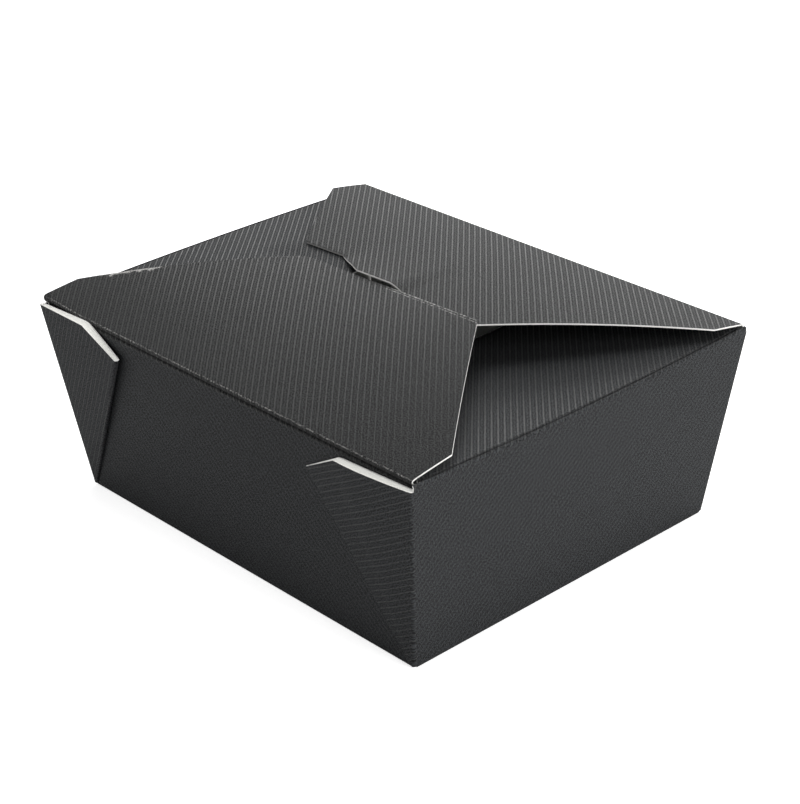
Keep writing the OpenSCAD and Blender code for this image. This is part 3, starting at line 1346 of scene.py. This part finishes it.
    def place(self, q: np.ndarray, f: np.ndarray) -> np.ndarray:
        """Middle of the board at a row of the section and a share of the way up.

        Args:
            q: rows of the section, counted from the short wall.
            f: shares of the way from the base corner to the cut edge.

        Returns:
            One point (x, y, z) for each pair.
        """
        n = np.arange(len(self.rows))
        slant, dx, out, base_x, base_out = (np.interp(q, n, self.rows[:, k]) for k in range(5))
        top = self._limit(slant)
        t = self.near + (top - self.near) * f
        share = t / top
        across = base_x * (1 - share) + (slant * top + dx) * share
        off = base_out * (1 - share) + out * share
        p = (self.apex + self.edge * t[:, None] + across[:, None] * self.inward
             + off[:, None] * self.outward)
        return p * np.array([int(self.x_side), -int(self.y_side), 1])

    def flat(self, q: np.ndarray, f: np.ndarray) -> np.ndarray:
        """The same point on the board laid out flat.

        Args:
            q: rows of the section, counted from the short wall.
            f: shares of the way from the base corner to the cut edge.

        Returns:
            One point (x, y) for each pair.
        """
        c, n = self.carton, np.arange(len(self.rows))
        top = self._limit(self.rows[:, 0])
        rays = np.stack([self.rows[:, 0] * top + self.rows[:, 1], self.rows[:, 2], top], 1)
        rays /= np.linalg.norm(rays, axis=1)[:, None]
        swept = np.concatenate([[0], np.cumsum(np.linalg.norm(np.diff(rays, axis=0), axis=1))])
        angle = self.turned + self.rows[0][2] / top[0] + np.interp(q, n, swept)
        p = self.place(q, f) * np.array([int(self.x_side), -int(self.y_side), 1]) - self.apex
        r = np.linalg.norm(p, axis=1)
        return np.stack([int(self.x_side) * (c.base_l / 2 + r * np.cos(angle)),
                         int(self.y_side) * (c.base_w / 2 + r * np.sin(angle))], 1)

    def seam(self) -> list[np.ndarray]:
        """Ends of the line where the web meets the short wall."""
        return list(self.place(np.zeros(2), np.array([0.0, 1.0])))

    def build(self, name: str) -> bpy.types.Object:
        """Builds the web.

        Args:
            name: the object's name.

        Returns:
            The web.
        """
        last = len(self.rows) - 1
        outline = [(0, 0), (last, 0), (last, 1), (0, 1)]
        vs = lines(spread(0, self.foot_share, self.foot_grid),
                   spread(self.foot_share, 1, self.grid))
        middle = 1 + self.corner_steps + self.steps / 2
        return Sheet(outline, np.arange(last + 1.0), vs, self.place, self.flat,
                     self.carton.board, (middle, 0.5, (0, int(self.y_side), 0)),
                     frozenset({0, 1, 3})).build(name)


# Short sides and floor

@dataclass
class ShortSide:
    """A short side: its wall, the roll at the rim and the tucked flap.

    sag is how far the rim hangs down at its middle, and dip the angle at which the tucked flap goes
    down. Where a lid is given, the tucked flap is pushed down under it.
    """

    carton: Carton
    side: Side
    webs: dict[Side, Web]
    sag: float
    dip: float
    reach: float = 63.0
    inset: float = 5.0
    tuck_end: float = 18.0
    taper: float = 20.0
    neck: Span = (0.8, 5.0)
    foot_in: float = 0.3
    seam_gap: float = 0.02
    whole_past: float = 0.3
    notch: float = 1.7
    curl_turn: float = 62.0
    groove: float = 0.7
    groove_w: float = 0.8
    groove_at: float = 0.35
    sag_half: float = 66.0
    sag_in: float = 0.25
    lid: LongSide | None = None
    lid_gap: float = 0.64
    lid_soft: float = 0.03
    lid_l: float = 12.0
    ridge_wear: float = 0.42
    ridge_share: float = 0.4
    ridge_w: float = 0.25
    # where the painted shade inside the roll lies, and how wide it is
    dark_at: float = 0.25
    dark_w: float = 1.3
    end_before: Span = (0.5, 0.1)
    roll_steps: int = 16
    tuck_steps: int = 30
    half_grid: float = 68.0
    wall_before: float = 1.0
    roll_before: float = 0.8
    roll_grid: float = 0.08
    groove_past: float = 1.3
    groove_grid: float = 0.12
    tuck_past: float = 1.6

    def __post_init__(self) -> None:
        """Draws the section."""
        c = self.carton
        mid = c.roll_r - c.board / 2
        a = math.radians(c.lean_x)
        top_z = c.board + c.wall_h - c.rim_step
        top_x = c.base_l / 2 + c.rim_out * (c.wall_h - c.rim_step) / c.wall_h
        lean_in = c.roll_r - c.board
        centre = (top_x - lean_in * math.cos(a), top_z + lean_in * math.sin(a))
        self.path = c.wall_path(c.base_l / 2, c.lean_x)
        foot = (centre[0] + mid * math.cos(a), centre[1] - mid * math.sin(a))
        self.path.line(foot, c.wall_steps).mark("rim")
        self.path.arc(centre, mid, -c.lean_x, 90 + self.dip, self.roll_steps).mark("flap")
        d = math.radians(self.dip)
        x, z = self.path.points[-1]
        end = (x - self.reach * math.cos(d), z - self.reach * math.sin(d))
        self.path.line(end, self.tuck_steps)
        self.curl = self.path.marks["rim"] + mid * math.radians(self.curl_turn + c.lean_x)

    def place(self, y: np.ndarray, s: np.ndarray) -> np.ndarray:
        """Middle of the board at a place along the side and a length along the section.

        Args:
            y: places along the side.
            s: lengths along the section.

        Returns:
            One point (x, y, z) for each pair.
        """
        p, marks = self.path.at(s), self.path.marks
        rise = np.clip((s - marks["wall"]) / self.carton.slope_h, 0, 1)
        bow = self.sag * np.clip(1 - (y / self.sag_half) ** 2, 0, None) * rise ** 3
        past = s - marks["flap"]
        dent = self.groove * bell((past - self.groove_at) / self.groove_w)
        inward = self.sag_in * np.clip(bow, 0, None)
        x, z = int(self.side) * (p[:, 0] - inward), p[:, 1] - bow - dent
        if self.lid is not None:
            room = self.lid.height(x, y) - self.lid_gap - z
            under = (room - np.sqrt(room ** 2 + self.lid_soft)) / 2
            z = z + under * smooth(past / self.lid_l)
        return np.stack([x, y, z], 1)

    def flat(self, y: np.ndarray, s: np.ndarray) -> np.ndarray:
        """The same point on the board laid out flat."""
        c = self.carton
        return np.stack([int(self.side) * (c.base_l / 2 + s - c.wall_mark(self.path)), y], 1)

    def rub_and_shade(self, y: np.ndarray, s: np.ndarray) -> np.ndarray:
        """Slight rubbing on the ridge of the roll, with painted shade on the tucked flap just
        inside the roll and at the tucked flap's end.

        Args:
            y: places along the side.
            s: lengths along the section.

        Returns:
            The value, negative where shade is painted.
        """
        rim, top = self.path.marks["rim"], self.path.marks["flap"]
        crest = rim + (top - rim) * self.ridge_share
        ridge = self.ridge_wear * np.exp(-((s - crest) / self.ridge_w) ** 2)
        start, full = self.end_before
        end = smooth((s - top - self.reach + start) / (start - full))
        return ridge - bell((s - top - self.dark_at) / self.dark_w) - end

    def _end(self, end: Side) -> list[tuple[float, float]]:
        """Outline of one end, from the floor up to the tucked flap.

        Args:
            end: which end of the side.

        Returns:
            Points along the side and along the section.
        """
        c, marks = self.carton, self.path.marks
        seam = self.webs[end].seam()
        z = self.path.at(np.linspace(marks["wall"], marks["rim"], 2))[:, 1]
        s = [float(np.interp(p[2], z, [marks["wall"], marks["rim"]])) for p in seam]
        low, high = (abs(float(p[1])) for p in seam)
        inner = c.rim_w / 2 - self.notch
        foot, top = c.base_w / 2 - self.foot_in, marks["flap"]
        made = [(foot, 0), (foot, marks["wall"]), (low, s[0] + self.seam_gap), (high, s[1])]
        stop = {RollEnd.NOTCHED: s[1], RollEnd.CURLED: self.curl,
                RollEnd.WHOLE: top + self.whole_past}[self.webs[end].shape.roll_end]
        if stop > s[1]:
            made.append((high, stop))
        made.append((inner, stop))
        edge = c.rim_w / 2 - self.inset
        made += [(inner, top + self.neck[0]), (edge, top + self.neck[1]),
                 (edge, top + self.tuck_end), (edge - self.taper, top + self.reach)]
        return [(int(end) * y, at) for y, at in made]

    def build(self, name: str) -> bpy.types.Object:
        """Builds the wall with its roll and tucked flap.

        Args:
            name: the object's name.

        Returns:
            The short side.
        """
        c, marks = self.carton, self.path.marks
        plus, minus = self._end(Side.PLUS), self._end(Side.MINUS)
        outline = plus + minus[::-1]
        count = len(outline)
        wall, rim, top = marks["wall"], marks["rim"], marks["flap"]
        us = spread(-self.half_grid, self.half_grid, c.panel_grid)
        vs = lines(*c.base_grid(wall), spread(wall, rim - self.wall_before, c.panel_grid),
                   spread(rim - self.roll_before, top, self.roll_grid),
                   spread(top, top + self.groove_past, self.groove_grid),
                   spread(top + self.tuck_past, top + self.reach, c.panel_grid))
        seams = frozenset({0, 1, 2, count - 1, count - 2, count - 3, count - 4})
        return Sheet(outline, us, vs, self.place, self.flat, c.board,
                     (0, rim / 2, (int(self.side), 0, 0)), seams, self.rub_and_shade).build(name)


@dataclass
class Floor:
    """The floor panel, up to the strips where the walls begin."""

    carton: Carton
    grid: float = 10.0

    def build(self, name: str) -> bpy.types.Object:
        """Builds the panel.

        Args:
            name: the object's name.

        Returns:
            The panel.
        """
        c = self.carton
        x, y = c.base_l / 2 - c.floor_strip, c.base_w / 2 - c.floor_strip

        def place(u: np.ndarray, v: np.ndarray) -> np.ndarray:
            """Middle of the board."""
            return np.stack([u, v, np.full(len(u), c.board / 2)], 1)

        def flat(u: np.ndarray, v: np.ndarray) -> np.ndarray:
            """The same point on the board laid out flat."""
            return np.stack([u, v], 1)

        us, vs = (spread(-half, half, self.grid) for half in (x, y))
        return Sheet([(-x, -y), (x, -y), (x, y), (-x, y)], us, vs, place, flat, c.board,
                     (0, 0, (0, 0, -1)), frozenset(range(4))).build(name)


# Studio

@dataclass(frozen=True)
class Lamp:
    """A soft square lamp that points at the carton. Lengths are in metres, power in watts."""

    name: str
    at: tuple[float, float, float]
    power: float
    size: float = 0.8
    aim: tuple[float, float, float] = (0.0, 0.0, 0.04)

    def build(self) -> None:
        """Adds the lamp."""
        data = bpy.data.lights.new(self.name, "AREA")
        data.shape = "SQUARE"
        data.size = self.size
        data.energy = self.power
        made = added(self.name, data)
        made.location = self.at
        aim = Vector(self.aim) - Vector(self.at)
        made.rotation_euler = aim.to_track_quat("-Z", "Y").to_euler()


LAMPS = (
    Lamp("overhead", (0.0, 0.0, 1.4), 7.8),
    Lamp("overhead_back", (-0.25, 0.6, 1.15), 4.2),
    Lamp("back", (0.0, 1.3, 0.45), 10.5),
    Lamp("back_left", (-0.9, 0.9, 0.45), 3.5),
    Lamp("right", (1.3, 0.1, 0.5), 12.8),
    Lamp("front_left", (-0.9, -0.9, 0.5), 2.6),
)


@dataclass
class Studio:
    """Floor, light and camera.

    The camera's distance and shift are in millimetres, and its angles in degrees.
    """

    azimuth: float = 47.8466
    elevation: float = 26.9697
    roll: float = -1.6592
    distance: float = 672.95
    shift: Span = (2.476, 30.115)
    focal_px: float = 2128.28
    image: tuple[int, int] = (800, 804)
    sensor: float = 36.0
    clip: Span = (0.01, 20.0)
    floor_half: float = 3.0
    floor_colour: Colour = (0.88, 0.88, 0.88, 1.0)
    floor_lift: float = 0.70
    even_light: float = 0.135
    lamps: tuple[Lamp, ...] = LAMPS

    def camera(self) -> None:
        """Puts the camera where the photograph was taken."""
        a, e, r = (math.radians(x) for x in (self.azimuth, self.elevation, self.roll))
        back = Vector((math.sin(a) * math.cos(e), -math.cos(a) * math.cos(e), math.sin(e)))
        right = Vector((math.cos(a), math.sin(a), 0))
        up = back.cross(right)
        x_axis = right * math.cos(r) + up * math.sin(r)
        y_axis = up * math.cos(r) - right * math.sin(r)
        place = back * self.distance + x_axis * self.shift[0] + y_axis * self.shift[1]
        data = bpy.data.cameras.new("camera")
        data.sensor_width = self.sensor
        data.lens = self.focal_px * self.sensor / max(self.image)
        data.clip_start, data.clip_end = self.clip
        made = added("camera", data)
        rows = Matrix((x_axis, y_axis, back)).transposed().to_4x4()
        made.matrix_world = Matrix.Translation(place * MM) @ rows
        bpy.context.scene.camera = made

    def floor(self) -> bpy.types.Object:
        """Lays the pale floor, which shows white but keeps the carton's shadow.

        Returns:
            The floor.
        """
        mesh = bpy.data.meshes.new("studio_floor")
        h = self.floor_half
        mesh.from_pydata([(-h, -h, 0), (h, -h, 0), (h, h, 0), (-h, h, 0)], [], [(0, 1, 2, 3)])
        g = Graph("studio_floor")
        seen = g.node("ShaderNodeLightPath", None, None, "Is Camera Ray")
        mesh.materials.append(g.dress(
            Base_Color=self.floor_colour, Roughness=0.9, Specular_IOR_Level=0.0,
            Emission_Color=g.mix(seen, BLACK, WHITE), Emission_Strength=self.floor_lift))
        return added("studio_floor", mesh)

    def world(self) -> None:
        """Lights the scene evenly, with a white background for the camera."""
        world = bpy.data.worlds.new("studio")
        world.use_nodes = True
        nodes, links = world.node_tree.nodes, world.node_tree.links
        back = nodes["Background"]
        path = nodes.new("ShaderNodeLightPath")
        rise = nodes.new("ShaderNodeMapRange")
        rise.inputs["To Min"].default_value = self.even_light
        rise.inputs["To Max"].default_value = 1.0
        links.new(path.outputs["Is Camera Ray"], rise.inputs["Value"])
        links.new(rise.outputs[0], back.inputs["Strength"])
        back.inputs["Color"].default_value = WHITE
        bpy.context.scene.world = world

    def build(self) -> None:
        """Sets the whole studio up."""
        self.camera()
        self.floor()
        self.world()
        for lamp in self.lamps:
            lamp.build()
        bpy.context.scene.view_settings.view_transform = "Standard"


# Whole carton

class Finishes:
    """The materials of the carton's board."""

    def __init__(self) -> None:
        """Builds the materials."""
        # The four prints are the same board. Their stripes differ in strength only as painted
        # sheen, which catches the back light on the lids more than on the walls and webs, and fades
        # towards the right on the front flap. The walls and webs also get the COOL ground.
        self.wall = PrintedBoard("wall_print", 1.45, walls=0.32, ground=COOL).material()
        self.web = PrintedBoard("web_print", 0.56, ground=COOL).material()
        self.front = PrintedBoard("front_print", 1.74, sheen_fade=(-12.0, 80.0, 0.86)).material()
        self.back = PrintedBoard("back_print", 1.4).material()
        self.inside = PlainBoard("inside_white", (0.80, 0.80, 0.79, 1),
                                 (0.74, 0.74, 0.73, 1)).material()
        # The pocket's white is a paler copy of the inside's white with painted light glowing from
        # it, so that the webs' shaded pockets show bright. The cut edges glow with painted light
        # too.
        self.lit_pocket = PlainBoard("pocket_white_lit", (0.92, 0.92, 0.90, 1),
                                 (0.88, 0.88, 0.86, 1), painted_glow=0.16).material()
        self.cut = PlainBoard("cut_edge", (0.88, 0.87, 0.85, 1), (0.66, 0.65, 0.62, 1),
                              scale=4.0, relief=0.05, painted_glow=0.10).material()

    def dress(self, piece: bpy.types.Object, printed: bpy.types.Material, slot: str,
              bare: bpy.types.Material | None = None) -> None:
        """Gives a piece its three finishes, and reports it.

        Args:
            piece: the piece of board.
            printed: finish of its outside.
            slot: not used.
            bare: finish of its inside, plain white if none is given.
        """
        for made in (printed, bare or self.inside, self.cut):
            piece.data.materials.append(made)
        LOG.info("%s: %d faces", piece.name, len(piece.data.polygons))


PLAIN_WEB = WebShape((-8.6, 62.3), (18.6, 62.4), (33.0, 56.3), RollEnd.NOTCHED,
                     outer=((0, 2.2), (0.5, 2.6), (1, 1.6)), inner=((0, 0.6), (1, 0.6)))
WHOLE_WEB = replace(PLAIN_WEB, roll_end=RollEnd.WHOLE)
LEFT_WEB = WebShape((-8.6, 63.4), (14.3, 63.9), (30.0, 56.5), RollEnd.NOTCHED,
                    outer=((0, 2.6), (0.53, 3.2), (1, 3.4)),
                    inner=((0, 1.3), (0.53, 0.45), (1, 1.7)))
RIGHT_WEB = WebShape((-8.6, 62.1), (20.5, 60.9), (35.4, 52.2), RollEnd.CURLED,
                     outer=((0, 2.2), (0.15, 2.9), (0.35, 3.4), (0.52, 3.3), (0.62, 2.5),
                            (1, 1.3)),
                     inner=((0, 0.5), (0.5, 0.7), (1, 0.4)))


def lid_sides(carton: Carton) -> tuple[FrontFlap, BackFlap]:
    """Shapes the two long sides.

    Args:
        carton: the shared sizes.

    Returns:
        The front and the back side. The back lid flap lies one layer lower.
    """
    front = FrontFlap(carton, Side.MINUS, carton.crown, FlapSide(83.9, 82.7, 11.3, 53.6),
                      FlapSide(82.6, 83.4, 12.7, 50.1), end_lift=0.8)
    back = BackFlap(carton, Side.PLUS, carton.crown - carton.board - carton.layer_gap,
                    FlapSide(83.1, 83.6, 13.9, 50.8), FlapSide(83.1, 82.7, 11.9, 48.7))
    return front, back


def box_pieces(carton: Carton, front: LongSide, back: LongSide) -> list[bpy.types.Object]:
    """Builds the pieces of the folded body.

    Args:
        carton: the shared sizes.
        front: the front side.
        back: the back side, whose lid flap presses the left tucked flap down.

    Returns:
        The floor, the walls and the webs.
    """
    made = [Floor(carton).build("floor_panel"), front.wall("front_wall"), back.wall("back_wall")]
    for x in Side:
        name = "right" if x > 0 else "left"
        webs = {Side.MINUS: Web(carton, x, Side.MINUS, RIGHT_WEB if x > 0 else LEFT_WEB),
                Side.PLUS: Web(carton, x, Side.PLUS, WHOLE_WEB if x > 0 else PLAIN_WEB)}
        if x > 0:
            short = ShortSide(carton, x, webs, sag=1.8, dip=6.0)
        else:
            short = ShortSide(carton, x, webs, sag=-1.0, dip=-7.5, lid=back)
        made.append(short.build(f"{name}_wall"))
        for y in Side:
            end = "back" if y > 0 else "front"
            made.append(webs[y].build(f"{name}_{end}_web"))
    return made


def main() -> None:
    """Builds the carton and its studio."""
    logging.basicConfig(level=logging.INFO, format="%(name)s: %(message)s")
    carton, finish = Carton(), Finishes()
    front, back = lid_sides(carton)
    for piece in box_pieces(carton, front, back):
        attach(piece, "box")
        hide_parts("box_body")
        if piece.name.endswith("_web"):
            finish.dress(piece, finish.web, "printed_board", finish.lit_pocket)
        else:
            finish.dress(piece, finish.wall, "printed_board")
    for side, label, printed in ((front, "front", finish.front), (back, "back", finish.back)):
        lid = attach(side.flap(f"{label}_lid_flap"), f"{label}_flap")
        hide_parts(f"{label}_flap")
        finish.dress(lid, printed, "flap_board")
        finish.dress(side.crease(f"{label}_crease", f"{label}_flap"), printed, "flap_board")
    Studio().build()


if __name__ == "__main__":
    main()
